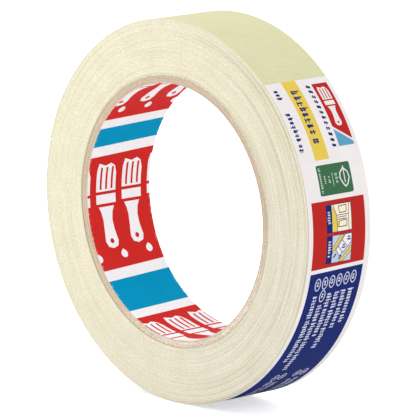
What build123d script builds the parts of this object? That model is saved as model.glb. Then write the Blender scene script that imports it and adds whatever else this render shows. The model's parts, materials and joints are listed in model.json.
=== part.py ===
from build123d import *
import math
import os

# A roll of masking tape standing on its rim. Millimetres; the bore runs along Y through the origin,
# +Z is up, and an angle is measured from +X towards +Z.
# One strip of tape is four nodes: the wound pack, the last turn, and a free end in three lengths that
# peels. The label is one strip too: a stuck length, and an end in two lengths that peels.

os.makedirs("parts", exist_ok=True)

# driving dimensions: a 3 inch core and a 25 mm wide tape
tape_width = 25.0
label_width = 24.0
bore_radius = 38.1
liner_thickness = 0.25
ply_thickness = 0.45
ply_count = 5
pack_radius = 56.9
tape_thickness = 0.13
label_thickness = 0.13

# room between what moves and what it lies on, and at the lines where a strip bends
peel_gap = 0.05
bend_gap = 0.4

# where things sit around the roll, in degrees
tape_bends = [112.0, 129.5, 147.0]
tape_tip = 165.0
label_top = 47.7
label_bends = [-155.0, -170.0]
label_tip = -185.0

# radii worked out from the above
liner_radius = bore_radius + liner_thickness
core_radius = liner_radius + ply_count * ply_thickness
tape_radius = pack_radius + peel_gap
label_radius = tape_radius + tape_thickness + peel_gap
bend_gap_angle = math.degrees(bend_gap / pack_radius)
full_turn = 360.0


def polar(radius, angle):
    turn = math.radians(angle)
    return (radius * math.cos(turn), radius * math.sin(turn))


def heading(angle):
    """The unit direction of travel round the roll at an angle, towards larger angles."""
    turn = math.radians(angle)
    return (-math.sin(turn), math.cos(turn))


def layer_face(radius, start, sweep):
    """The outside of one wound layer: its radius grows by a tape's thickness in a full turn."""
    steps = 36
    points = []
    for step in range(steps + 1):
        share = sweep * step / steps
        points.append(polar(radius + tape_thickness * share / full_turn, start + share))
    return Spline(
        *points,
        tangents=[heading(start), heading(start + sweep)],
        tangent_scalars=[1.0, 1.0],
    )


def arc_strip(inner, thickness, start, end):
    """The outline of a thin strip that follows the rim from one angle to another."""
    inside = CenterArc((0, 0), inner, start, end - start)
    outside = CenterArc((0, 0), inner + thickness, start, end - start)
    Line(inside @ 0, outside @ 0)
    Line(inside @ 1, outside @ 1)


def tube_wall(inner, outer):
    Circle(outer)
    Circle(inner, mode=Mode.SUBTRACT)


# core: a printed paper liner, then plies of grey board

with BuildPart() as core_liner:
    with BuildSketch(Plane.XZ):
        tube_wall(bore_radius, liner_radius)
    extrude(amount=tape_width / 2, both=True)

core_liner.part.label = "core_liner"
export_step(core_liner.part, "parts/core_liner.step")

for ply in range(ply_count):
    ply_inner = liner_radius + ply * ply_thickness
    with BuildPart() as core_ply:
        with BuildSketch(Plane.XZ):
            tube_wall(ply_inner, ply_inner + ply_thickness)
        extrude(amount=tape_width / 2, both=True)
    core_ply.part.label = f"core_ply_{ply + 1}"
    export_step(core_ply.part, f"parts/core_ply_{ply + 1}.step")

# tape: the wound pack has a step one tape high where its last turn starts, behind the tape's tip

with BuildPart() as tape_pack:
    with BuildSketch(Plane.XZ):
        with BuildLine():
            rim = layer_face(pack_radius - tape_thickness, tape_tip, full_turn)
            Line(rim @ 0, rim @ 1)
        make_face()
        Circle(core_radius, mode=Mode.SUBTRACT)
    extrude(amount=tape_width / 2, both=True)

tape_pack.part.label = "tape_pack"
export_step(tape_pack.part, "parts/tape_pack.step")

last_turn_start = tape_tip + bend_gap_angle
last_turn_sweep = tape_bends[0] + full_turn - bend_gap_angle - last_turn_start

with BuildPart() as tape_last_turn:
    with BuildSketch(Plane.XZ):
        with BuildLine():
            start_radius = pack_radius - tape_thickness * (1 - bend_gap_angle / full_turn)
            stuck_face = layer_face(start_radius, last_turn_start, last_turn_sweep)
            outer_face = layer_face(start_radius + tape_thickness, last_turn_start, last_turn_sweep)
            Line(stuck_face @ 0, outer_face @ 0)
            Line(stuck_face @ 1, outer_face @ 1)
        make_face()
    extrude(amount=tape_width / 2, both=True)

tape_last_turn.part.label = "tape_last_turn"
export_step(tape_last_turn.part, "parts/tape_last_turn.step")

tape_end_names = ["tape_end_root", "tape_end_middle", "tape_end_tip"]
tape_end_limits = tape_bends + [tape_tip]

for length, name in enumerate(tape_end_names):
    with BuildPart() as tape_end:
        with BuildSketch(Plane.XZ):
            with BuildLine():
                strip_start = tape_end_limits[length] + bend_gap_angle / 2
                strip_end = tape_end_limits[length + 1] - bend_gap_angle / 2
                arc_strip(tape_radius, tape_thickness, strip_start, strip_end)
            make_face()
        extrude(amount=tape_width / 2, both=True)
    tape_end.part.label = name
    export_step(tape_end.part, f"parts/{name}.step")

# label: a paper band a little narrower than the tape, stuck down from its top edge to its first bend

with BuildPart() as label:
    with BuildSketch(Plane.XZ):
        with BuildLine():
            arc_strip(label_radius, label_thickness, label_bends[0] + bend_gap_angle / 2, label_top)
        make_face()
    extrude(amount=label_width / 2, both=True)

label.part.label = "label"
export_step(label.part, "parts/label.step")

label_end_names = ["label_end_root", "label_end_tip"]
label_end_limits = label_bends + [label_tip]

for length, name in enumerate(label_end_names):
    with BuildPart() as label_end:
        with BuildSketch(Plane.XZ):
            with BuildLine():
                strip_start = label_end_limits[length] - bend_gap_angle / 2
                strip_end = label_end_limits[length + 1] + bend_gap_angle / 2
                arc_strip(label_radius, label_thickness, strip_end, strip_start)
            make_face()
        extrude(amount=label_width / 2, both=True)
    label_end.part.label = name
    export_step(label_end.part, f"parts/{name}.step")
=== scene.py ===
import json
import math
import random

import bmesh
import bpy
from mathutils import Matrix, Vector, noise
from mathutils.geometry import delaunay_2d_cdt

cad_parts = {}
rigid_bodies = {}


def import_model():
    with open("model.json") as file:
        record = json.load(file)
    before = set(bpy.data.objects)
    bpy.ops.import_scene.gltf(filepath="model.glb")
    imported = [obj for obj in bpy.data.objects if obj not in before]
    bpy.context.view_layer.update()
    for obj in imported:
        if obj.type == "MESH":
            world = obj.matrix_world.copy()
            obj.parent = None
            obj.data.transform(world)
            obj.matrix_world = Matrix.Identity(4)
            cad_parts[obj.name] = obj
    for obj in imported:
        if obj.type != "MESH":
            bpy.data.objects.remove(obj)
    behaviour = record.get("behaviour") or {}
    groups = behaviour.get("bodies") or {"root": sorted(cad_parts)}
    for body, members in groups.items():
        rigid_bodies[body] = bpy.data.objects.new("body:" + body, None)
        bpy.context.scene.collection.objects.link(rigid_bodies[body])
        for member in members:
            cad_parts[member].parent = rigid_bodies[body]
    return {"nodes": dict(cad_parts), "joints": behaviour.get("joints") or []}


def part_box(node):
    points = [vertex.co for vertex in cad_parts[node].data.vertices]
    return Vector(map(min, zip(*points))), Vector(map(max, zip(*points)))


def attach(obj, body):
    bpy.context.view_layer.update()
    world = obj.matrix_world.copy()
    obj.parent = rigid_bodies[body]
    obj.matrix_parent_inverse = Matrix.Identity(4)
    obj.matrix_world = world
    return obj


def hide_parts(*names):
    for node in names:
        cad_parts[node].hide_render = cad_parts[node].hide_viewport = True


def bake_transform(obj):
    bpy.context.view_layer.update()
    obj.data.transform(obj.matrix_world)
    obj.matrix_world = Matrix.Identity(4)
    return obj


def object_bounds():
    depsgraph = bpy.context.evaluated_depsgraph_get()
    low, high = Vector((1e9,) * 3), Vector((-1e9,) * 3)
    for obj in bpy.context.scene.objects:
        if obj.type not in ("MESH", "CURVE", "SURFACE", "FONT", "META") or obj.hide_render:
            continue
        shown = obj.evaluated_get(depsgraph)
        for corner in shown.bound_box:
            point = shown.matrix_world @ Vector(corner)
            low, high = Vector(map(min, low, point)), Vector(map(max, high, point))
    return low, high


# A roll of masking tape on its rim: a wound pack of crepe paper tape on a cardboard core with a printed
# liner, a printed label round the rim, and two ends that peel. Metres; an angle is measured in the plane
# across the bore, from +X towards +Z. Artwork is laid out flat in millimetres and then wrapped.

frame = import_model()
cad_low, cad_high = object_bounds()

MM = 0.001
TAU = 2 * math.pi


# ---------------------------------------------------------------- what the frame says

def reach(node):
    """How far a node's points lie from the bore's axis: (nearest, furthest)."""
    spans = [math.hypot(v.co.x, v.co.z) for v in frame["nodes"][node].data.vertices]
    return min(spans), max(spans)


def turn_between(start, end):
    """The signed angle from one to the other, the short way round."""
    return (end - start + math.pi) % TAU - math.pi


def arc_limits(node):
    """The two end angles of a node that goes less than half way round, as (lowest, highest)."""
    angles = [math.atan2(v.co.z, v.co.x) for v in frame["nodes"][node].data.vertices]
    turns = [turn_between(angles[0], angle) for angle in angles]
    return angles[0] + min(turns), angles[0] + max(turns)


def bend_angle(joint_name):
    joint = next(j for j in frame["joints"] if j["name"] == joint_name)
    return math.atan2(joint["pos_m"][2], joint["pos_m"][0])


def joint_bodies(joint_name):
    joint = next(j for j in frame["joints"] if j["name"] == joint_name)
    return joint["parent"], joint["child"]


liner_inner, liner_outer = reach("core_liner")
pack_inner, pack_outer = reach("tape_pack")
end_inner, end_outer = reach("tape_end_tip")
label_inner, label_outer = reach("label")
tape_half_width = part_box("tape_pack")[1].y
label_half_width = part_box("label")[1].y
tape_thickness = end_outer - end_inner
label_top = math.asin(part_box("label")[1].z / label_outer)
label_bends = [bend_angle("label_peel"), bend_angle("label_curl_tip")]
label_tip = label_top - (label_top - arc_limits("label_end_tip")[0]) % TAU
tape_bends = [bend_angle(name) for name in ("tape_peel", "tape_curl_middle", "tape_curl_tip")]
tape_tip = arc_limits("tape_end_tip")[1] % TAU


# ---------------------------------------------------------------- colours and node helpers

def ink(red, green, blue):
    """A colour given as 0 to 255 on screen, as the linear colour that shaders take."""
    linear = []
    for part in (red, green, blue):
        share = part / 255
        linear.append(share / 12.92 if share <= 0.04045 else ((share + 0.055) / 1.055) ** 2.4)
    return (*linear, 1.0)


class Wiring:
    """Adds nodes to a tree, with their inputs set or linked in one call."""

    def __init__(self, tree):
        self.tree = tree

    def node(self, kind, inputs=None, **settings):
        made = self.tree.nodes.new(kind)
        for name, value in settings.items():
            setattr(made, name, value)
        for name, value in (inputs or {}).items():
            if isinstance(value, bpy.types.NodeSocket):
                self.tree.links.new(value, made.inputs[name])
            else:
                made.inputs[name].default_value = value
        return made

    def math(self, operation, *values):
        return self.node("ShaderNodeMath", dict(enumerate(values)), operation=operation).outputs[0]

    def vector(self, x, y, z):
        return self.node("ShaderNodeCombineXYZ", {"X": x, "Y": y, "Z": z}).outputs[0]

    def noise(self, vector, scale, detail=2.0, roughness=0.5):
        inputs = {"Vector": vector, "Scale": scale, "Detail": detail, "Roughness": roughness}
        return self.node("ShaderNodeTexNoise", inputs).outputs[0]

    def spread(self, value, low, high, to_low=0.0, to_high=1.0):
        inputs = {
            "Value": value,
            "From Min": low,
            "From Max": high,
            "To Min": to_low,
            "To Max": to_high,
        }
        return self.node("ShaderNodeMapRange", inputs).outputs[0]

    def mix(self, factor, first, second, blend="MIX"):
        made = self.node("ShaderNodeMix", data_type="RGBA", blend_type=blend)
        sockets = [made.inputs["Factor"]] + [s for s in made.inputs if s.type == "RGBA"]
        for socket, value in zip(sockets, (factor, first, second)):
            if isinstance(value, bpy.types.NodeSocket):
                self.tree.links.new(value, socket)
            else:
                socket.default_value = value
        return next(s for s in made.outputs if s.type == "RGBA")

    def group(self, tree, **inputs):
        made = self.node("ShaderNodeGroup", node_tree=tree)
        for name, value in inputs.items():
            socket = made.inputs[name.replace("_", " ").title()]
            if isinstance(value, bpy.types.NodeSocket):
                self.tree.links.new(value, socket)
            else:
                socket.default_value = value
        return made.outputs


def new_group(name, inputs, outputs, kind="ShaderNodeTree"):
    """A node group with named sockets: (tree, wiring, its inputs' sockets, a call that sets outputs)."""
    tree = bpy.data.node_groups.new(name, kind)
    for socket_name, socket_type, default in inputs:
        socket = tree.interface.new_socket(socket_name, in_out="INPUT", socket_type=socket_type)
        if default is not None:
            socket.default_value = default
    for socket_name, socket_type in outputs:
        tree.interface.new_socket(socket_name, in_out="OUTPUT", socket_type=socket_type)
    wiring = Wiring(tree)
    given = wiring.node("NodeGroupInput").outputs
    result = wiring.node("NodeGroupOutput")

    def finish(**values):
        for socket_name, socket in values.items():
            tree.links.new(socket, result.inputs[socket_name.replace("_", " ").title()])

    return tree, wiring, given, finish


FLOAT = "NodeSocketFloat"
COLOUR = "NodeSocketColor"


# ---------------------------------------------------------------- shared surface effects

def make_layer_edges():
    """The edges of wound layers: thin dark rings round the bore among loose fibres, made heavier on one side and
    towards the outer rim by painted shade, and a mask towards the side at the Shade Angle.
    """
    tree, w, given, finish = new_group(
        "layer_edges",
        [
            ("Rings Per Mm", FLOAT, 2.2),
            ("Ring Wander", FLOAT, 0.9),
            ("Ring Strength", FLOAT, 0.35),
            ("Heavy Side", FLOAT, 0.5),
            ("Heavy Angle", FLOAT, 0.1),
            ("Shade Angle", FLOAT, -0.6),
            ("Shade From", FLOAT, 0.0),
            ("Loose From", FLOAT, 1.0),
            ("Fleck Scale", FLOAT, 2000.0),
            ("Seed", FLOAT, 0.0),
        ],
        [("Rings", FLOAT), ("Flecks", FLOAT), ("Cloud", FLOAT), ("Side", FLOAT), ("Height", FLOAT)],
    )
    place = w.node("ShaderNodeTexCoord").outputs["Object"]
    split = w.node("ShaderNodeSeparateXYZ", {"Vector": place}).outputs
    radius = w.math("SQRT", w.math("ADD", w.math("POWER", split["X"], 2.0), w.math("POWER", split["Z"], 2.0)))
    cosine, sine = w.math("DIVIDE", split["X"], radius), w.math("DIVIDE", split["Z"], radius)
    around_x, around_z = (w.math("MULTIPLY", part, given["Ring Wander"]) for part in (cosine, sine))
    ring = w.math("MULTIPLY", w.math("MULTIPLY", radius, 1 / MM), given["Rings Per Mm"])
    ring = w.math("ADD", ring, given["Seed"])
    thin = w.spread(w.noise(w.vector(ring, around_x, around_z), 1.0, 1.0, 0.6), 0.50, 0.40)
    broad_place = w.vector(w.math("MULTIPLY", ring, 0.22), around_x, around_z)
    broad = w.spread(w.noise(broad_place, 1.0, 1.0), 0.65, 0.35, 0.6, 1.2)

    def towards(angle):
        """1 on the side of the bore at that angle, 0 on the opposite side."""
        across = w.math("MULTIPLY", cosine, w.math("COSINE", angle))
        up = w.math("MULTIPLY", sine, w.math("SINE", angle))
        return w.math("ADD", w.math("MULTIPLY", w.math("ADD", across, up), 0.5), 0.5)

    # Painted shade: the rings grow darker towards the Heavy Angle, as the layers' relief looks there under the light,
    # and up to twice as dark over the pack's outermost 1.5 mm, where the last turn's edge shades the face.
    side = towards(given["Heavy Angle"])
    outermost = w.spread(radius, given["Loose From"], w.math("ADD", given["Loose From"], 0.0015))
    heavy = w.math("MULTIPLY", w.math("MULTIPLY", side, side), given["Heavy Side"])
    heavy = w.math("MULTIPLY", heavy, w.math("ADD", 1.0, outermost))
    strength = w.math("MULTIPLY", w.math("ADD", given["Ring Strength"], heavy), broad)
    rings = w.node("ShaderNodeClamp", {"Value": w.math("MULTIPLY", thin, strength)}).outputs[0]
    flecks = w.noise(place, given["Fleck Scale"], 2.0, 0.6)
    cloud = w.noise(place, 160.0, 3.0, 0.5)
    finish(
        rings=rings,
        flecks=w.spread(flecks, 0.43, 0.57),
        cloud=w.spread(cloud, 0.35, 0.65),
        side=w.spread(towards(given["Shade Angle"]), given["Shade From"], 1.0),
        height=w.math("SUBTRACT", w.math("MULTIPLY", flecks, 0.6), rings),
    )
    return tree


def make_paper_grain():
    """Short fibres and cloudiness of plain or printed paper."""
    tree, w, given, finish = new_group(
        "paper_grain",
        [("Fibre Scale", FLOAT, 1500.0), ("Cloud Scale", FLOAT, 90.0), ("Seed", FLOAT, 0.0)],
        [("Cloud", FLOAT), ("Grain", FLOAT), ("Height", FLOAT)],
    )
    place = w.node("ShaderNodeTexCoord").outputs["Object"]
    moved = w.node("ShaderNodeVectorMath", {0: place, 1: given["Seed"]}, operation="ADD").outputs[0]
    cloud = w.noise(moved, given["Cloud Scale"], 3.0, 0.6)
    grain = w.noise(moved, given["Fibre Scale"], 2.0, 0.6)
    height = w.math("ADD", w.math("MULTIPLY", grain, 0.8), w.math("MULTIPLY", cloud, 0.2))
    finish(cloud=w.spread(cloud, 0.3, 0.7), grain=w.spread(grain, 0.35, 0.65), height=height)
    return tree


def make_crepe():
    """The wrinkles of creped paper, which run across the tape; its map is along and across, in metres."""
    tree, w, given, finish = new_group(
        "crepe_wrinkles",
        [("Wrinkles Per Metre", FLOAT, 1100.0), ("Seed", FLOAT, 0.0)],
        [("Shade", FLOAT), ("Height", FLOAT)],
    )
    flat = w.node("ShaderNodeUVMap", uv_map="flat").outputs[0]
    split = w.node("ShaderNodeSeparateXYZ", {"Vector": flat}).outputs
    along = w.math("MULTIPLY", split["X"], given["Wrinkles Per Metre"])
    across = w.math("MULTIPLY", split["Y"], given["Wrinkles Per Metre"])
    wrinkle_place = w.vector(along, w.math("MULTIPLY", across, 0.16), given["Seed"])
    wrinkles = w.noise(wrinkle_place, 1.0, 3.0, 0.62)
    mottle = w.noise(w.vector(along, across, given["Seed"]), 0.06, 3.0, 0.5)
    shade = w.math("ADD", w.math("MULTIPLY", wrinkles, 0.6), w.math("MULTIPLY", mottle, 0.4))
    finish(shade=w.spread(shade, 0.35, 0.65), height=wrinkles)
    return tree


def make_rubbed():
    """Where handling has rubbed a printed strip: a broken band along its two edges."""
    tree, w, given, finish = new_group(
        "rubbed_edges",
        [("Half Width", FLOAT, 0.012), ("Band", FLOAT, 0.0008), ("Grain Scale", FLOAT, 900.0)],
        [("Mask", FLOAT)],
    )
    place = w.node("ShaderNodeTexCoord").outputs["Object"]
    across = w.math("ABSOLUTE", w.node("ShaderNodeSeparateXYZ", {"Vector": place}).outputs["Y"])
    from_edge = w.math("SUBTRACT", given["Half Width"], across)
    near_edge = w.math("SUBTRACT", 1.0, w.math("DIVIDE", from_edge, given["Band"]))
    broken = w.noise(place, given["Grain Scale"], 4.0, 0.7)
    worn = w.math("MULTIPLY", w.spread(near_edge, 0.0, 1.0), w.spread(broken, 0.5, 0.62))
    finish(mask=worn)
    return tree


LAYER_EDGES = make_layer_edges()
PAPER_GRAIN = make_paper_grain()
CREPE = make_crepe()
RUBBED = make_rubbed()


# ---------------------------------------------------------------- materials

def start_material(name, **settings):
    material = bpy.data.materials.new(name)
    material.use_nodes = True
    wiring = Wiring(material.node_tree)
    shader = material.node_tree.nodes["Principled BSDF"]
    for socket_name, value in settings.items():
        shader.inputs[socket_name.replace("_", " ")].default_value = value
    return material, wiring, shader


def finish_material(wiring, shader, colour, roughness, height, bump, depth):
    """Links colour, roughness and a bump of a real depth in metres."""
    links = wiring.tree.links
    links.new(colour, shader.inputs["Base Color"])
    links.new(roughness, shader.inputs["Roughness"])
    inputs = {"Height": height, "Strength": bump, "Distance": depth}
    links.new(wiring.node("ShaderNodeBump", inputs).outputs[0], shader.inputs["Normal"])


def wound_edge_material(name, base, far_base, fleck, groove, depth, **ring_settings):
    """Cut edges of many layers; the colour goes from base to far_base towards the side at the shade angle, painted
    shade on the tape's edge and the outer ply's edge, and the rings take the groove colour.
    """
    material, w, shader = start_material(name, **{"Specular IOR Level": 0.1})
    edges = w.group(LAYER_EDGES, **ring_settings)
    colour = w.mix(edges["Side"], base, far_base)
    colour = w.mix(w.math("MULTIPLY", edges["Cloud"], 0.25), colour, fleck)
    colour = w.mix(w.math("MULTIPLY", edges["Flecks"], 0.6), colour, fleck)
    colour = w.mix(edges["Rings"], colour, groove)
    roughness = w.spread(edges["Flecks"], 0.0, 1.0, 0.75, 0.95)
    finish_material(w, shader, colour, roughness, edges["Height"], 0.5, depth)
    return material


def crepe_material(name, dark, light, rough_low, rough_high, bump, **settings):
    material, w, shader = start_material(name, **settings)
    crepe = w.group(CREPE)
    grain = w.group(PAPER_GRAIN, fibre_scale=1900.0, cloud_scale=60.0)
    colour = w.mix(crepe["Shade"], dark, light)
    colour = w.mix(w.math("MULTIPLY", grain["Grain"], 0.10), colour, ink(234, 233, 214))
    roughness = w.spread(crepe["Shade"], 0.0, 1.0, rough_low, rough_high)
    height = w.math("ADD", crepe["Height"], w.math("MULTIPLY", grain["Height"], 0.15))
    finish_material(w, shader, colour, roughness, height, bump, 0.00006)
    return material


def board_material(name, dark, light):
    material, w, shader = start_material(name, **{"Specular IOR Level": 0.2})
    grain = w.group(PAPER_GRAIN, fibre_scale=1400.0, cloud_scale=160.0)
    colour = w.mix(grain["Cloud"], dark, light)
    roughness = w.spread(grain["Grain"], 0.0, 1.0, 0.8, 0.95)
    finish_material(w, shader, colour, roughness, grain["Height"], 0.5, 0.00008)
    return material


def printed_material(name, colour_on_paper, gloss, half_width, seed=0.0):
    """Ink on coated paper: a little cloudy, with the paper's tooth, and rubbed along the strip's edges."""
    material, w, shader = start_material(name, **{"Specular IOR Level": 0.02})
    grain = w.group(PAPER_GRAIN, fibre_scale=1700.0, cloud_scale=120.0, seed=seed)
    rubbed = w.group(RUBBED, half_width=half_width)
    deep = tuple(0.93 * part for part in colour_on_paper[:3]) + (1.0,)
    colour = w.mix(grain["Cloud"], deep, colour_on_paper)
    colour = w.mix(w.math("MULTIPLY", grain["Grain"], 0.4), colour, deep)
    colour = w.mix(w.math("MULTIPLY", rubbed["Mask"], 0.5), colour, ink(235, 228, 215))
    roughness = w.spread(grain["Grain"], 0.0, 1.0, gloss, gloss + 0.14)
    finish_material(w, shader, colour, roughness, grain["Height"], 0.35, 0.00003)
    return material


# Painted shade: the wound face turns darker and a little pinker towards the lower right, away from the light, and its
# rings darken on the right and near the outer rim.
TAPE_EDGE = wound_edge_material(
    "tape_edge", ink(236, 231, 206), ink(226, 220, 207), ink(206, 200, 172), ink(158, 150, 102), 0.00010,
    rings_per_mm=3.6, ring_strength=0.11, heavy_side=0.30, loose_from=pack_outer - 0.0015
)
BOARD_EDGE = wound_edge_material(
    "core_board_edge", ink(217, 198, 175), ink(252, 244, 228), ink(188, 169, 146), ink(144, 130, 108), 0.00008,
    rings_per_mm=3.0, ring_strength=0.3, heavy_side=0.0, shade_angle=-1.1, shade_from=0.7, fleck_scale=1700.0, seed=7.0
)
# The board's outermost ply, next to the tape: painted shadow darkens its edge towards the left, where the gap between
# core and tape lies in shade.
SHADOWED_PLY_EDGE = wound_edge_material(
    "outer_ply_edge_painted_shadow", ink(240, 231, 210), ink(172, 162, 132), ink(184, 164, 140), ink(144, 130, 108), 0.00008,
    rings_per_mm=3.0, ring_strength=0.2, heavy_side=0.0, shade_angle=-2.8, shade_from=0.45, fleck_scale=1700.0, seed=7.0
)
BOARD = board_material("grey_board", ink(180, 160, 138), ink(206, 188, 166))
TAPE_BACK = crepe_material(
    "tape_crepe_back", ink(202, 200, 157), ink(211, 208, 168), 0.6, 0.75, 0.3, **{"Specular IOR Level": 0.1}
)
TAPE_ADHESIVE = crepe_material(
    "tape_adhesive_side", ink(208, 198, 140), ink(224, 216, 164), 0.22, 0.36, 0.3, **{"Specular IOR Level": 0.5}
)

LINER_INKS = {
    "white": printed_material("liner_white", ink(248, 251, 252), 0.5, tape_half_width, 1.0),
    "red": printed_material("liner_red", ink(210, 45, 41), 0.5, tape_half_width, 2.0),
    "blue": printed_material("liner_blue", ink(0, 152, 198), 0.5, tape_half_width, 3.0),
}
LABEL_INKS = {
    name: printed_material(f"label_{name}", colour, 0.5, label_half_width, seed)
    for seed, (name, colour) in enumerate(
        {
            "paper": ink(232, 227, 227),
            "yellow": ink(224, 196, 82),
            "navy": ink(30, 43, 108),
            "red": ink(182, 41, 37),
            "green": ink(62, 106, 74),
            "pale_green": ink(176, 198, 178),
            "sky": ink(93, 155, 192),
            "cream": ink(240, 230, 202),
            "ice": ink(190, 199, 216),
            "soft_white": ink(208, 211, 228),
        }.items()
    )
}
LABEL_BACK = board_material("label_underside", ink(228, 226, 220), ink(240, 238, 232))
LINER_BACK = board_material("liner_underside", ink(196, 178, 156), ink(214, 198, 178))


# ---------------------------------------------------------------- flat artwork

def box(u0, v0, u1, v1):
    return [(u0, v0), (u1, v0), (u1, v1), (u0, v1)]


def slanted_box(u0, v0, u1, v1, lean):
    return [(u0, v0), (u1, v0), (u1 + lean, v1), (u0 + lean, v1)]


def rounded_box(u0, v0, u1, v1, radius, steps=5):
    centres = [(u1 - radius, v1 - radius), (u0 + radius, v1 - radius),
               (u0 + radius, v0 + radius), (u1 - radius, v0 + radius)]
    outline = []
    for corner, (u, v) in enumerate(centres):
        for step in range(steps + 1):
            turn = (corner + step / steps) * TAU / 4
            outline.append((u + radius * math.cos(turn), v + radius * math.sin(turn)))
    return outline


def oval(u, v, along, across, steps=28):
    turns = [TAU * step / steps for step in range(steps)]
    return [(u + along * math.cos(turn), v + across * math.sin(turn)) for turn in turns]


def placed(outline, u, v, scale=1.0, turn=0.0):
    c, s = scale * math.cos(turn), scale * math.sin(turn)
    return [(u + c * x - s * y, v + s * x + c * y) for x, y in outline]


def line(a, b, width):
    """A straight stroke from a to b."""
    along, across = b[0] - a[0], b[1] - a[1]
    half = width / 2 / math.hypot(along, across)
    u, v = -across * half, along * half
    return [(a[0] - u, a[1] - v), (b[0] - u, b[1] - v), (b[0] + u, b[1] + v), (a[0] + u, a[1] + v)]


def strokes(mark, corners, width, closed=False):
    ends = corners[1:] + corners[:1] if closed else corners[1:]
    return [(mark, line(a, b, width)) for a, b in zip(corners, ends)]


def move_shapes(shapes, u, v, scale=1.0, turn=0.0):
    return [(mark, placed(outline, u, v, scale, turn)) for mark, outline in shapes]


def paintbrush(ground, mark):
    """A flat paintbrush lying along +u, 25.4 long and 7.4 wide, with its bristles first."""
    bristles = [(0.0, -3.2), (2.2, -3.7), (8.6, -3.7), (8.6, 3.7), (3.4, 3.7), (1.2, 2.9), (0.2, 1.4), (0.9, -0.6)]
    side = [(13.1, 2.9), (14.8, 2.1), (17.0, 1.7), (20.0, 1.9), (23.2, 2.4), (24.8, 1.8), (25.4, 0.0)]
    handle = side + [(u, -v) for u, v in side[-2::-1]]
    shapes = [(mark, bristles), (mark, box(9.5, -3.7, 12.2, 3.7)), (mark, handle)]
    shapes.append((ground, oval(23.2, 0.0, 0.75, 0.75, 16)))
    shapes += [(ground, box(1.4, v - 0.38, 8.0, v + 0.38)) for v in (-2.0, 0.1, 2.2)]
    return shapes


def paint_drop(mark, u, v, size):
    turns = [math.pi * (-0.72 + 1.44 * step / 14) for step in range(15)]
    outline = [(-1.25, 0.0)] + [(0.95 * math.cos(turn), 0.95 * math.sin(turn)) for turn in turns]
    return [(mark, placed(outline, u, v, size))]


def plain_blocks(mark, u, v, length, height, seed, letter=0.6, gap=0.2):
    """A line of tiny blocks where print is too small to read."""
    rng = random.Random(seed)
    shapes = []
    at = u
    while at < u + length:
        wide = letter * rng.uniform(0.6, 1.0)
        shapes.append((mark, box(at, v, min(at + wide, u + length), v + height * rng.choice((0.75, 0.75, 1.0)))))
        at += wide + gap * rng.choice((1.0, 1.0, 1.0, 2.6))
    return shapes


# Signs of no alphabet: where the uprights stand across a sign, and the heights of its cross strokes, as shares.
SIGNS = (
    ((0.25, 0.8), (0.5,)),
    ((0.5,), (0.2, 0.75)),
    ((0.2, 0.75), (0.2, 0.8)),
    ((0.3,), (0.0, 0.65)),
    ((0.7,), (0.35, 1.0)),
    ((0.2, 0.8), (0.75,)),
    ((0.15, 0.65), (0.2,)),
)


def mock_sign(mark, u, v, wide, tall, weight, lean, uprights, levels):
    shapes = []
    for share in uprights:
        left = u + share * (wide - weight)
        shapes.append((mark, slanted_box(left, v, left + weight, v + tall, lean)))
    for share in levels:
        low = v + share * (tall - weight)
        left = u + share * lean
        shapes.append((mark, slanted_box(left, low, left + wide, low + weight, 0.0)))
    return shapes


def mock_words(mark, u, v, length, height, seed, letter, weight):
    """A line of made-up signs that spells nothing; some hang below the line and some stand tall."""
    rng = random.Random(seed)
    shapes = []
    at = u
    left_in_word = rng.randint(5, 9)
    while at + 0.5 * letter < u + length:
        uprights, levels = rng.choice(SIGNS)
        wide = letter * rng.choice((0.75, 0.8, 0.85, 0.9))
        low = rng.choice((0.0, 0.0, 0.0, 0.0, 0.0, 0.24)) * height
        tall = rng.choice((0.74, 0.74, 1.0)) * height
        shapes += mock_sign(mark, at, v, wide, 0.74 * height, weight, 0.0, uprights, levels)
        shapes += mock_sign(mark, at, v - low, wide, low + tall, weight, 0.0, uprights[:1], ())
        at += wide + 0.24 * letter
        left_in_word -= 1
        if left_in_word == 0:
            left_in_word = rng.randint(5, 9)
            at += 0.45 * letter
    return shapes


def spaced_signs(mark, u, v, pitch, count, seed):
    """A row of leaning made-up signs, all of one size, set wide apart."""
    rng = random.Random(seed)
    shapes = []
    for place in range(count):
        shapes += mock_sign(mark, u + pitch * place, v, 1.05, 1.5, 0.4, 0.3, *rng.choice(SIGNS))
    return shapes


def door_picture(u, v):
    """A corner of a room with a panel on each wall, 8.15 by 10, under a navy strip."""
    wall, edge = 0.2, 0.24
    shapes = [("cream", box(0.0, 2.3, 8.15, 10.0)), ("navy", box(0.0, 0.0, 8.15, 2.3))]
    shapes.append(("yellow", [(0.1, 2.4), (8.1, 2.4), (8.1, 4.2), (6.8, 4.3), (6.5, 5.0), (5.0, 5.0), (4.8, 4.4),
                              (3.5, 4.2), (1.5, 3.3)]))
    left_panel = [(0.8, 5.0), (2.7, 5.3), (2.6, 7.9), (0.6, 8.1)]
    right_panel = [(5.0, 5.1), (6.7, 4.7), (6.7, 8.0), (4.8, 8.0)]
    for panel in (left_panel, right_panel):
        shapes += strokes("navy", panel, edge, closed=True)
    shapes += strokes("navy", [(0.1, 2.8), (3.3, 4.1), (8.1, 4.2)], wall)
    for at, low, high in ((3.3, 4.1, 8.7), (3.9, 4.4, 8.0), (4.5, 4.4, 8.0)):
        shapes += strokes("navy", [(at, low), (at, high)], wall)
    shapes += strokes("navy", [(0.1, 9.2), (3.3, 8.7), (8.1, 8.8)], wall)
    shapes += strokes("navy", [(0.07, 2.3), (0.07, 9.93), (8.08, 9.93), (8.08, 2.3)], wall)
    shapes += mock_words("soft_white", 1.9, 0.65, 4.3, 1.2, 31, 0.75, 0.2)
    return move_shapes(shapes, u, v)


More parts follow.
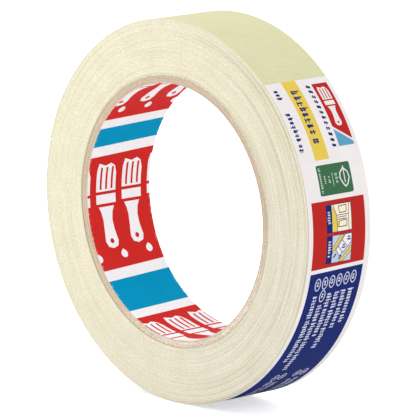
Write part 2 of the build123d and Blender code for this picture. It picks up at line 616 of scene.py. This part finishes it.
def strip_picture(u, v):
    """Two strips of tape laid aslant over panes, 8.25 by 10, under a navy strip."""
    shapes = [("ice", box(0.0, 2.3, 8.25, 10.0))]
    panes = [
        [(3.4, 4.6), (4.5, 3.7), (6.4, 5.3), (5.3, 6.4)],
        [(1.7, 6.1), (3.4, 4.6), (5.5, 6.6), (4.0, 8.3)],
        [(0.1, 7.5), (1.7, 6.1), (4.0, 8.3), (2.5, 9.9), (0.1, 9.9)],
    ]
    for pane in panes:
        shapes.append(("paper", pane))
        shapes += strokes("navy", pane, 0.2, closed=True)
    upper_strip = [(0.14, 5.5), (3.8, 2.3), (5.45, 2.3), (0.14, 6.95)]
    lower_strip = [(3.7, 9.93), (8.11, 5.08), (8.11, 6.73), (5.2, 9.93)]
    for strip in (upper_strip, lower_strip):
        shapes.append(("yellow", strip))
        shapes += strokes("navy", strip, 0.16, closed=True)
    signs = mock_words("navy", 0.0, 0.0, 1.7, 1.3, 33, 0.7, 0.26)
    shapes += move_shapes(signs, 0.8, 8.3)
    shapes += move_shapes(signs, 3.0, 6.3)
    shapes += [("navy", line(a, b, 0.5)) for a, b in (((5.5, 3.9), (6.6, 3.0)), ((6.2, 6.0), (7.3, 5.0)))]
    shapes.append(("navy", box(0.0, 0.0, 8.25, 2.3)))
    shapes += strokes("navy", [(0.07, 2.3), (0.07, 9.93), (8.18, 9.93), (8.18, 2.3)], 0.14)
    shapes += mock_words("soft_white", 1.5, 0.65, 5.4, 1.2, 32, 0.75, 0.2)
    return move_shapes(shapes, u, v)


def ringed_mark(u, v, seed):
    """A thin oval ring round two small signs."""
    shapes = [("soft_white", oval(u, v, 2.0, 1.15)), ("navy", oval(u, v, 1.68, 0.84))]
    return shapes + mock_words("soft_white", u - 0.85, v - 0.42, 1.9, 1.0, seed, 0.8, 0.24)


def label_artwork(length):
    """Everything printed on the label, from its top edge down: later shapes lie over earlier ones."""
    shapes = [("yellow", box(-1.0, -6.0, 25.6, -0.42))]
    shapes += mock_words("navy", 3.3, -4.6, 18.4, 3.1, 11, 1.8, 0.44)
    shapes += mock_words("navy", 2.5, -10.6, 4.0, 1.95, 12, 1.1, 0.36)
    shapes += mock_words("navy", 10.4, -10.6, 12.2, 1.95, 13, 1.25, 0.38)
    shapes += spaced_signs("navy", 2.2, 2.2, 1.74, 12, 60)
    shapes.append(("red", [(2.1, 4.7), (16.4, 4.7), (20.8, 10.75), (2.1, 10.75)]))
    shapes.append(("sky", [(17.2, 4.7), (22.5, 4.7), (22.5, 10.75), (21.5, 10.75)]))
    shapes += move_shapes(paintbrush("red", "paper"), 3.3, 7.75, 0.52)
    shapes.append(("green", rounded_box(27.1, -6.6, 36.0, 6.6, 0.6)))
    leaf = [(28.8, 3.8), (30.0, 2.3), (31.6, 2.0), (33.4, 3.0), (34.2, 3.8), (33.4, 4.8), (31.6, 5.6), (30.0, 5.2)]
    shapes += strokes("paper", leaf, 0.4, closed=True)
    shapes += strokes("paper", [(28.2, 3.8), (33.0, 3.8)], 0.34)
    shapes += mock_words("pale_green", 29.9, 0.2, 3.4, 1.25, 21, 1.0, 0.22)
    for start, low, long, tall in ((29.7, -1.0, 3.9, 0.4), (30.6, -2.6, 1.9, 0.8), (30.3, -4.2, 2.3, 0.7),
                                   (27.9, -5.9, 7.3, 0.8)):
        shapes += plain_blocks("pale_green", start, low, long, tall, round(start))
    shapes.append(("red", [(37.4, -10.75), (57.2, -10.75), (56.6, 10.1), (37.4, 10.1)]))
    shapes += door_picture(38.7, -5.28)
    shapes += strip_picture(47.65, -5.28)
    shapes.append(("navy", [(58.4, -10.75), (length - 6.0, -10.75), (length - 6.0, 10.1), (57.8, 10.1)]))
    rows = ((-7.1, 25.6), (-4.26, 26.6), (-1.45, 15.9), (1.4, 21.4), (4.24, 13.5), (7.0, 11.8))
    for block, start in enumerate((61.6, 99.9, 138.2, 176.5)):
        for row, (v, long) in enumerate(rows):
            seed = 100 * block + row
            if block == 1 and row in (0, 3):
                continue
            first = start - 0.05 * v
            shapes += ringed_mark(first, v, seed + 40)
            if row == 1:
                shapes += ringed_mark(first + 4.1, v, seed + 70)
            late = first + (7.0 if row == 1 else 3.65)
            shapes += mock_words("soft_white", late, v - 0.85, min(long, length - 8.0 - late), 2.0, seed, 0.92, 0.27)
    return shapes


LINER_SEAM = 13.0  # where the liner's two ends meet, in degrees
LINER_STRIPES = ((73.6, 17.9), (151.6, 10.3), (229.5, 17.9), (311.3, 17.9))  # middle and width, in degrees
LINER_FIELDS = ((6.0, -5.1), (87.6, -1.4), (162.0, -5.2), (243.7, -0.1), (325.5, -5.1))  # start, a row's middle
LINER_SLANT = -0.052


def liner_artwork():
    """Groups of stripes, slightly aslant, and rows of paintbrushes in the red fields between them."""
    shapes = []
    per_degree = liner_inner / MM * TAU / 360
    border = 5.3 * per_degree
    for middle, width in LINER_STRIPES:
        low = (middle - width / 2 - LINER_SEAM) * per_degree
        high = (middle + width / 2 - LINER_SEAM) * per_degree
        shapes.append(("white", slanted_box(low - border, -13.0, high + border, 13.0, 26.0 * LINER_SLANT)))
        shapes.append(("blue", slanted_box(low, -13.0, high, 13.0, 26.0 * LINER_SLANT)))
    shapes = [(mark, placed(outline, -13.0 * LINER_SLANT, 0.0)) for mark, outline in shapes]
    for start, middle in LINER_FIELDS:
        for row in range(-2, 3):
            v = middle + 10.2 * row
            u = (start - LINER_SEAM) * per_degree + 2.6 + LINER_SLANT * v
            shapes += move_shapes(paintbrush("red", "white"), u, v, 1.04)
            shapes += paint_drop("white", u + 28.6, v + 3.2, 1.3)
    return shapes


def turned_left(outline):
    """The outline in the order that keeps its inside on the left."""
    area = sum(a[0] * b[1] - b[0] * a[1] for a, b in zip(outline, outline[1:] + outline[:1]))
    return outline if area > 0 else outline[::-1]


def cut_out(length, width, shapes, ground, step, cuts=()):
    """Cuts a flat sheet along every printed outline and across at each cut: (points, [(triangle, ink)])."""
    points = [Vector((u * 1.0, v * 1.0)) for u, v in box(0.0, -width / 2, length, width / 2)]
    faces = [[0, 1, 2, 3]]
    marks = [ground]
    edges = []
    for mark, outline in shapes:
        if max(u for u, _ in outline) < 0.0 or min(u for u, _ in outline) > length:
            continue
        first = len(points)
        points += [Vector(corner) for corner in turned_left(outline)]
        faces.append(list(range(first, len(points))))
        marks.append(mark)
    columns = max(2, round(length / step))
    for u in list(cuts) + [length * column / columns for column in range(1, columns)]:
        edges.append((len(points), len(points) + 1))
        points += [Vector((u, -width / 2)), Vector((u, width / 2))]
    flat, _, triangles, _, _, owners = delaunay_2d_cdt(points, edges, faces, 1, 1e-5)
    kept = []
    for triangle, owner in zip(triangles, owners):
        if 0 in owner:
            kept.append((tuple(triangle), marks[max(owner)]))
    return flat, kept


# ---------------------------------------------------------------- meshes

def add_piece(name, mesh, body=None, replaces=()):
    piece = bpy.data.objects.new(name, mesh)
    bpy.context.scene.collection.objects.link(piece)
    if body:
        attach(piece, body)
    if replaces:
        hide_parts(*replaces)
    return piece


def smooth_but_corners(mesh, angle=35.0):
    mesh.polygons.foreach_set("use_smooth", [True] * len(mesh.polygons))
    mesh.set_sharp_from_angle(angle=math.radians(angle))


def thicken(piece, thickness, back, edge):
    """Gives a sheet its thickness, away from its face, with other materials behind and on its cut edges."""
    sheet = piece.data
    faces, inks = len(sheet.polygons), len(sheet.materials)
    sheet.materials.append(back)
    sheet.materials.append(edge)
    solid = piece.modifiers.new("thickness", "SOLIDIFY")
    solid.thickness = thickness
    solid.offset = -1.0
    bpy.context.view_layer.update()
    shaped = piece.evaluated_get(bpy.context.evaluated_depsgraph_get())
    finished = bpy.data.meshes.new_from_object(shaped)
    piece.modifiers.remove(solid)
    for polygon in finished.polygons[faces:]:
        polygon.material_index = inks if polygon.index < 2 * faces else inks + 1
    finished.name = sheet.name
    piece.data = finished
    smooth_but_corners(finished)
    return piece


def wrapped_mesh(name, flat, triangles, inks, wrap):
    """A mesh from flat artwork, wrapped round the roll, with its flat place kept as a map."""
    used = sorted({i for triangle, _ in triangles for i in triangle})
    number = {old: new for new, old in enumerate(used)}
    mesh = bpy.data.meshes.new(name)
    corners = [wrap(flat[i].x * MM, flat[i].y * MM) for i in used]
    mesh.from_pydata(corners, [], [[number[i] for i in triangle] for triangle, _ in triangles])
    names = list(inks)
    for material in inks.values():
        mesh.materials.append(material)
    for polygon, (_, mark) in zip(mesh.polygons, triangles):
        polygon.material_index = names.index(mark)
    flat_map = mesh.uv_layers.new(name="flat")
    for loop in mesh.loops:
        spot = flat[used[loop.vertex_index]]
        flat_map.data[loop.index].uv = (spot.x * MM, spot.y * MM)
    return mesh


def round_the_roll(length_radius, radius_at, start, way):
    """Wraps a strip that starts at an angle and goes towards larger (+1) or smaller (-1) angles."""
    def wrap(u, v):
        turn = start + way * u / length_radius
        radius = radius_at(turn)
        return (radius * math.cos(turn), v, radius * math.sin(turn))
    return wrap


def tape_surface(turn):
    """The outside of the last turn of tape, which climbs one thickness as it goes round."""
    return pack_outer + tape_thickness * ((turn - tape_tip) / TAU % 1.0 - 0.02)


def label_surface(turn):
    return tape_surface(turn) + 0.02 * MM + label_outer - label_inner


def bend_at(piece, joint_name):
    """Meant to bend a strip from one body to the next at the joint's line; it only looks up the joint and bakes the
    strip's transform, so the strip stays unbent and on no body.
    """
    parent, child = joint_bodies(joint_name)
    start = bend_angle(joint_name)
    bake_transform(piece)


# ---------------------------------------------------------------- core and pack, wound by one rule

def make_wound_ring():
    """A tube whose two ends show the edges of its layers, each set a little in or out of line."""
    length, whole = "NodeSocketFloat", "NodeSocketInt"
    tree, w, given, finish = new_group(
        "wound_ring",
        [
            ("Inner Radius", length, 0.04),
            ("Outer Radius", length, 0.05),
            ("Half Width", length, 0.0125),
            ("Layers", whole, 10),
            ("Steps Round", whole, 240),
            ("Layer Depth", length, 0.0001),
            ("Band Depth", length, 0.0001),
            ("Bands Per Layer", length, 0.1),
            ("Corner Depth", length, 0.0001),
            ("Inner Lean", length, 0.0),
            ("Outer Lean", length, 0.0),
            ("Lean Angle", length, 0.0),
            ("Growth", length, 0.0),
            ("Growth Start", length, 0.0),
            ("Seed", whole, 1),
            ("Edge Material", "NodeSocketMaterial", None),
            ("Wall Material", "NodeSocketMaterial", None),
        ],
        [("Geometry", "NodeSocketGeometry")],
        "GeometryNodeTree",
    )
    layers = given["Layers"]
    loop_points = w.math("MULTIPLY", layers, 4.0)
    grid = w.node("GeometryNodeMeshGrid", {
        "Size X": 1.0,
        "Size Y": 1.0,
        "Vertices X": w.math("ADD", given["Steps Round"], 1.0),
        "Vertices Y": w.math("ADD", loop_points, 1.0),
    }).outputs[0]
    spot = w.node("ShaderNodeSeparateXYZ", {"Vector": w.node("GeometryNodeInputPosition").outputs[0]}).outputs
    turn = w.math("MULTIPLY", w.math("ADD", spot["X"], 0.5), TAU)
    raw = w.math("ROUND", w.math("MULTIPLY", w.math("ADD", spot["Y"], 0.5), loop_points))
    point = w.math("MULTIPLY", raw, w.math("LESS_THAN", raw, w.math("SUBTRACT", loop_points, 0.5)))
    half_loop = w.math("MULTIPLY", layers, 2.0)
    front = w.math("LESS_THAN", point, w.math("SUBTRACT", half_loop, 0.5))
    mirrored = w.math("SUBTRACT", w.math("SUBTRACT", loop_points, 1.0), point)
    outward = w.math("ADD", w.math("MULTIPLY", point, front),
                     w.math("MULTIPLY", mirrored, w.math("SUBTRACT", 1.0, front)))
    layer = w.math("FLOOR", w.math("DIVIDE", w.math("ADD", outward, 0.25), 2.0))
    far_side = w.math("SUBTRACT", outward, w.math("MULTIPLY", layer, 2.0))
    pitch = w.math("DIVIDE", w.math("SUBTRACT", given["Outer Radius"], given["Inner Radius"]), layers)
    inside_layer = w.math("ADD", 0.1, w.math("MULTIPLY", far_side, 0.8))
    radius = w.math("ADD", given["Inner Radius"], w.math("MULTIPLY", pitch, w.math("ADD", layer, inside_layer)))
    share = w.math("DIVIDE", w.math("ADD", layer, inside_layer), layers)
    gone_round = w.math("FRACT", w.math("DIVIDE", w.math("SUBTRACT", turn, given["Growth Start"]), TAU))
    grown = w.math("MULTIPLY", w.math("MULTIPLY", given["Growth"], gone_round), share)
    lean = w.spread(share, 0.0, 1.0, given["Inner Lean"], given["Outer Lean"])
    lean = w.math("MULTIPLY", lean, w.math("COSINE", w.math("SUBTRACT", turn, given["Lean Angle"])))
    radius = w.math("ADD", radius, w.math("ADD", grown, lean))
    cosine, sine = w.math("COSINE", turn), w.math("SINE", turn)
    own_side = w.math("MULTIPLY", front, 500.0)
    chance = w.node("FunctionNodeRandomValue", {
        "ID": w.math("ADD", layer, own_side),
        "Seed": given["Seed"],
    }, data_type="FLOAT").outputs[1]
    seeded = w.math("ADD", own_side, w.math("MULTIPLY", given["Seed"], 17.0))
    flicker = w.noise(w.vector(w.math("ADD", w.math("MULTIPLY", layer, 0.7), seeded),
                               cosine, sine), 1.0, 1.0)
    bands = w.noise(w.vector(w.math("ADD", w.math("MULTIPLY", layer, given["Bands Per Layer"]), seeded),
                             w.math("MULTIPLY", cosine, 0.7), w.math("MULTIPLY", sine, 0.7)), 1.0, 2.0)
    proud = w.math("MULTIPLY", w.math("MULTIPLY", chance, flicker), given["Layer Depth"])
    rolling = w.math("MULTIPLY", w.spread(bands, 0.25, 0.75), given["Band Depth"])
    near_end = w.math("MAXIMUM", w.math("LESS_THAN", outward, 0.5),
                      w.math("GREATER_THAN", outward, w.math("SUBTRACT", half_loop, 1.5)))
    depth = w.math("ADD", w.math("ADD", proud, rolling), w.math("MULTIPLY", near_end, given["Corner Depth"]))
    side = w.math("SUBTRACT", 1.0, w.math("MULTIPLY", front, 2.0))
    across = w.math("MULTIPLY", side, w.math("SUBTRACT", given["Half Width"], depth))
    place = w.vector(w.math("MULTIPLY", radius, cosine), across, w.math("MULTIPLY", radius, sine))
    shaped = w.node("GeometryNodeSetPosition", {"Geometry": grid, "Position": place}).outputs[0]
    closed = w.node("GeometryNodeMergeByDistance", {"Geometry": shaped, "Distance": 1e-7}).outputs[0]
    middle = w.math("ABSOLUTE", spot["Y"])
    real = w.node("GeometryNodeRealizeInstances", {"Geometry": closed}).outputs[0]
    edged = w.node("GeometryNodeSetMaterial", {"Geometry": real, "Material": given["Edge Material"]}).outputs[0]
    on_wall = w.math("LESS_THAN", middle, w.math("MULTIPLY", given["Half Width"], 0.5))
    walled = w.node("GeometryNodeSetMaterial", {
        "Geometry": edged,
        "Selection": on_wall,
        "Material": given["Wall Material"],
    }).outputs[0]
    finish(geometry=walled)
    return tree


WOUND_RING = make_wound_ring()


def wound_ring(name, **inputs):
    """One ring as a plain mesh: the tree's inputs by name, then the modifier is taken off."""
    holder = bpy.data.objects.new(name, bpy.data.meshes.new(name))
    bpy.context.scene.collection.objects.link(holder)
    modifier = holder.modifiers.new("wound", "NODES")
    modifier.node_group = WOUND_RING
    sockets = {item.name: item.identifier for item in WOUND_RING.interface.items_tree}
    for input_name, value in inputs.items():
        modifier[sockets[input_name.replace("_", " ").title()]] = value
    holder.update_tag()
    bpy.context.view_layer.update()
    shaped = holder.evaluated_get(bpy.context.evaluated_depsgraph_get())
    mesh = bpy.data.meshes.new_from_object(shaped)
    empty = holder.data
    bpy.data.objects.remove(holder)
    bpy.data.meshes.remove(empty)
    mesh.name = name
    used = [index for index, material in enumerate(mesh.materials) if material]
    materials = [mesh.materials[index] for index in used]
    slots = [used.index(face.material_index) for face in mesh.polygons]
    mesh.materials.clear()
    for material in materials:
        mesh.materials.append(material)
    mesh.polygons.foreach_set("material_index", slots)
    work = bmesh.new()
    work.from_mesh(mesh)
    if work.calc_volume(signed=True) < 0:
        bmesh.ops.reverse_faces(work, faces=work.faces)
    work.to_mesh(mesh)
    work.free()
    smooth_but_corners(mesh, 50.0)
    return mesh


BOARD_PLIES = sorted(name for name in frame["nodes"] if name.startswith("core_ply_"))
CORE_LEAN = 0.5 * MM  # the board is this much thicker on one side, and as much thinner on the other
CORE_LEAN_ANGLE = math.radians(165.0)


def make_core_board():
    for number, node in enumerate(BOARD_PLIES):
        inner, outer = reach(node)
        mesh = wound_ring(
            f"board_ply_{number + 1}",
            inner_radius=inner,
            outer_radius=outer,
            half_width=tape_half_width,
            layers=3,
            steps_round=240,
            layer_depth=0.00012,
            band_depth=0.00008,
            bands_per_layer=0.4,
            corner_depth=0.00005,
            inner_lean=CORE_LEAN * number / len(BOARD_PLIES),
            outer_lean=CORE_LEAN * (number + 1) / len(BOARD_PLIES),
            lean_angle=CORE_LEAN_ANGLE,
            seed=20 + number,
            # The outermost ply gets the edge with painted shadow.
            edge_material=SHADOWED_PLY_EDGE if number == len(BOARD_PLIES) - 1 else BOARD_EDGE,
            wall_material=BOARD,
        )
        add_piece(mesh.name, mesh, "roll", [node])


def make_tape_pack():
    mesh = wound_ring(
        "wound_pack",
        inner_radius=pack_inner,
        outer_radius=pack_outer - tape_thickness,
        half_width=tape_half_width,
        layers=82,
        steps_round=240,
        layer_depth=0.00010,
        band_depth=0.00007,
        bands_per_layer=0.11,
        corner_depth=0.00008,
        inner_lean=CORE_LEAN,
        lean_angle=CORE_LEAN_ANGLE,
        growth=tape_thickness,
        growth_start=tape_tip,
        seed=5,
        edge_material=TAPE_EDGE,
        wall_material=TAPE_BACK,
    )
    flat_map = mesh.uv_layers.new(name="flat")
    for loop in mesh.loops:
        spot = mesh.vertices[loop.vertex_index].co
        along = math.atan2(spot.z, spot.x) * pack_outer
        flat_map.data[loop.index].uv = (along, spot.y)
    add_piece(mesh.name, mesh, "roll", ["tape_pack"])


# ---------------------------------------------------------------- printed liner

def make_liner():
    length = TAU * liner_inner / MM
    seam = math.radians(LINER_SEAM)
    flat, triangles = cut_out(length, 2 * tape_half_width / MM, liner_artwork(), "red", 1.2)
    wrap = round_the_roll(liner_inner, lambda turn: liner_inner, seam, 1)
    mesh = wrapped_mesh("printed_liner", flat, triangles, LINER_INKS, wrap)
    work = bmesh.new()
    work.from_mesh(mesh)
    bmesh.ops.remove_doubles(work, verts=work.verts, dist=1e-6)
    work.to_mesh(mesh)
    work.free()
    piece = add_piece(mesh.name, mesh)
    thicken(piece, liner_outer - liner_inner, LINER_BACK, LINER_BACK)
    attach(piece, "roll")
    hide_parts("core_liner")


# ---------------------------------------------------------------- label

def make_label():
    length = (label_top - label_tip) * label_outer / MM
    width = 2 * label_half_width / MM + 0.6
    run_in = math.radians(3.0)
    middle_cut = (label_bends[0] + label_bends[1]) / 2
    cut_angles = [label_top, label_bends[0] + run_in, middle_cut, label_tip]
    cuts = [(label_top - angle) * label_outer / MM for angle in cut_angles]
    wrap = round_the_roll(label_outer, label_surface, label_top, -1)
    flat, whole = cut_out(length, width, label_artwork(length), "paper", 1.2, cuts[1:-1])
    names = ["printed_label", "label_end_bend", "label_end_flap"]
    replaced = [["label"], ["label_end_root"], ["label_end_tip"]]
    joints = [None, "label_peel", "label_curl_tip"]
    for name, nodes, joint, low, high in zip(names, replaced, joints, cuts, cuts[1:]):
        own = [(t, m) for t, m in whole if low <= sum(flat[i].x for i in t) / 3 < high]
        mesh = wrapped_mesh(name, flat, own, LABEL_INKS, wrap)
        piece = add_piece(name, mesh)
        thicken(piece, label_outer - label_inner, LABEL_BACK, LABEL_BACK)
        if joint:
            bend_at(piece, joint)
        else:
            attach(piece, "roll")
        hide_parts(*nodes)


# ---------------------------------------------------------------- tape: last turn and free end

def crepe_height(u, v):
    """Wrinkles across the tape, in metres, from 0 to their full depth below the face."""
    place = Vector((u / (0.9 * MM), v / (6.0 * MM), 3.7))
    fine = Vector((u / (0.4 * MM), v / (2.5 * MM), 9.1))
    return 0.014 * MM * (noise.noise(place) - 1.0) + 0.006 * MM * (noise.noise(fine) - 1.0)


def tape_strip(name, start, end, step):
    """A length of tape with crepe in its surface, from one angle to another."""
    half = tape_half_width - 0.06 * MM
    columns = max(2, round((end - start) * pack_outer / step))
    rows = 14
    mesh = bpy.data.meshes.new(name)
    corners = []
    flat = []
    for column in range(columns + 1):
        turn = start + (end - start) * column / columns
        u = turn * pack_outer
        for row in range(rows + 1):
            v = half * (2 * row / rows - 1)
            radius = tape_surface(turn) + crepe_height(u, v)
            corners.append((radius * math.cos(turn), v, radius * math.sin(turn)))
            flat.append((u, v))
    faces = []
    for column in range(columns):
        for row in range(rows):
            first = column * (rows + 1) + row
            faces.append((first, first + 1, first + rows + 2, first + rows + 1))
    mesh.from_pydata(corners, [], faces)
    mesh.materials.append(TAPE_BACK)
    flat_map = mesh.uv_layers.new(name="flat")
    for loop in mesh.loops:
        flat_map.data[loop.index].uv = flat[loop.vertex_index]
    piece = add_piece(name, mesh)
    return thicken(piece, tape_thickness * 0.8, TAPE_ADHESIVE, TAPE_EDGE)


def make_tape_strips():
    run_in = math.radians(2.0)
    whole_turn = tape_tip - TAU + math.radians(0.6)
    cuts = [tape_bends[0] - run_in, (tape_bends[0] + tape_bends[1]) / 2 + run_in,
            (tape_bends[1] + tape_bends[2]) / 2 + run_in, tape_tip]
    turn = tape_strip("last_turn", whole_turn, cuts[0], 0.36 * MM)
    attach(turn, "roll")
    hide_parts("tape_last_turn")
    names = ["tape_end_bend", "tape_end_length", "tape_end_flap"]
    nodes = ["tape_end_root", "tape_end_middle", "tape_end_tip"]
    joints = ["tape_peel", "tape_curl_middle", "tape_curl_tip"]
    for name, node, joint, low, high in zip(names, nodes, joints, cuts, cuts[1:]):
        strip = tape_strip(name, low, high - 1e-6, 0.36 * MM)
        bend_at(strip, joint)
        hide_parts(node)


make_core_board()
make_tape_pack()
make_liner()
make_label()
make_tape_strips()


# ---------------------------------------------------------------- floor, light and camera

FLOOR_RADIUS = 6.0
floor_height = cad_low.z


FLOOR_GLOW = 0.6  # painted light: a glow on the floor that only the camera sees, which lightens the roll's shadow


def make_floor():
    """A wide round pale floor just under the roll, faintly mottled."""
    mesh = bpy.data.meshes.new("floor")
    corners = [(FLOOR_RADIUS * math.cos(TAU * step / 96), FLOOR_RADIUS * math.sin(TAU * step / 96), floor_height)
               for step in range(96)]
    mesh.from_pydata(corners, [], [list(range(96))])
    material, w, shader = start_material("pale_floor", **{"Specular IOR Level": 0.1})
    place = w.node("ShaderNodeTexCoord").outputs["Object"]
    mottle = w.noise(place, 40.0, 3.0, 0.5)
    colour = w.mix(mottle, ink(250, 250, 250), ink(252, 252, 252))
    roughness = w.spread(mottle, 0.3, 0.7, 0.85, 0.95)
    finish_material(w, shader, colour, roughness, mottle, 0.1, 0.0001)
    # Painted light: the floor glows for camera rays only, so the roll's shadow on it looks lighter.
    seen = w.node("ShaderNodeLightPath").outputs["Is Camera Ray"]
    w.tree.links.new(w.math("MULTIPLY", seen, FLOOR_GLOW), shader.inputs["Emission Strength"])
    shader.inputs["Emission Color"].default_value = (1.0, 1.0, 1.0, 1.0)
    mesh.materials.append(material)
    add_piece("floor", mesh)


def add_area_light(name, azimuth, elevation, distance, size, watts, tint=(1.0, 1.0, 1.0)):
    """A square soft light aimed at the bore; azimuth 0 is the side of the open face, 90 is +X."""
    a, e = math.radians(azimuth), math.radians(elevation)
    towards = Vector((math.sin(a) * math.cos(e), -math.cos(a) * math.cos(e), math.sin(e)))
    data = bpy.data.lights.new(name, "AREA")
    data.energy = watts
    data.size = size
    data.color = tint
    light = bpy.data.objects.new(name, data)
    bpy.context.scene.collection.objects.link(light)
    light.location = towards * distance
    light.rotation_euler = towards.to_track_quat("Z", "Y").to_euler()


def make_lights():
    world = bpy.data.worlds.new("studio")
    bpy.context.scene.world = world
    world.use_nodes = True
    background = world.node_tree.nodes["Background"]
    background.inputs["Color"].default_value = (1.0, 1.0, 1.0, 1.0)
    background.inputs["Strength"].default_value = 1.12
    add_area_light("key", -55.0, 42.0, 0.7, 0.5, 1.0)


def make_camera():
    azimuth, elevation, distance = math.radians(47.267), math.radians(10.807), 1.3
    aim_right, aim_down = 1.02 * MM, 0.36 * MM
    towards = Vector((
        math.sin(azimuth) * math.cos(elevation),
        -math.cos(azimuth) * math.cos(elevation),
        math.sin(elevation),
    ))
    right = Vector((math.cos(azimuth), math.sin(azimuth), 0.0))
    up = towards.cross(right)
    data = bpy.data.cameras.new("camera")
    data.sensor_width = 36.0
    data.lens = 381.4
    camera = bpy.data.objects.new("camera", data)
    bpy.context.scene.collection.objects.link(camera)
    camera.location = towards * distance
    aim = right * aim_right - up * aim_down
    camera.rotation_euler = (camera.location - aim).to_track_quat("Z", "Y").to_euler()
    bpy.context.scene.camera = camera


make_floor()
make_lights()
make_camera()
bpy.context.scene.view_settings.view_transform = "Standard"
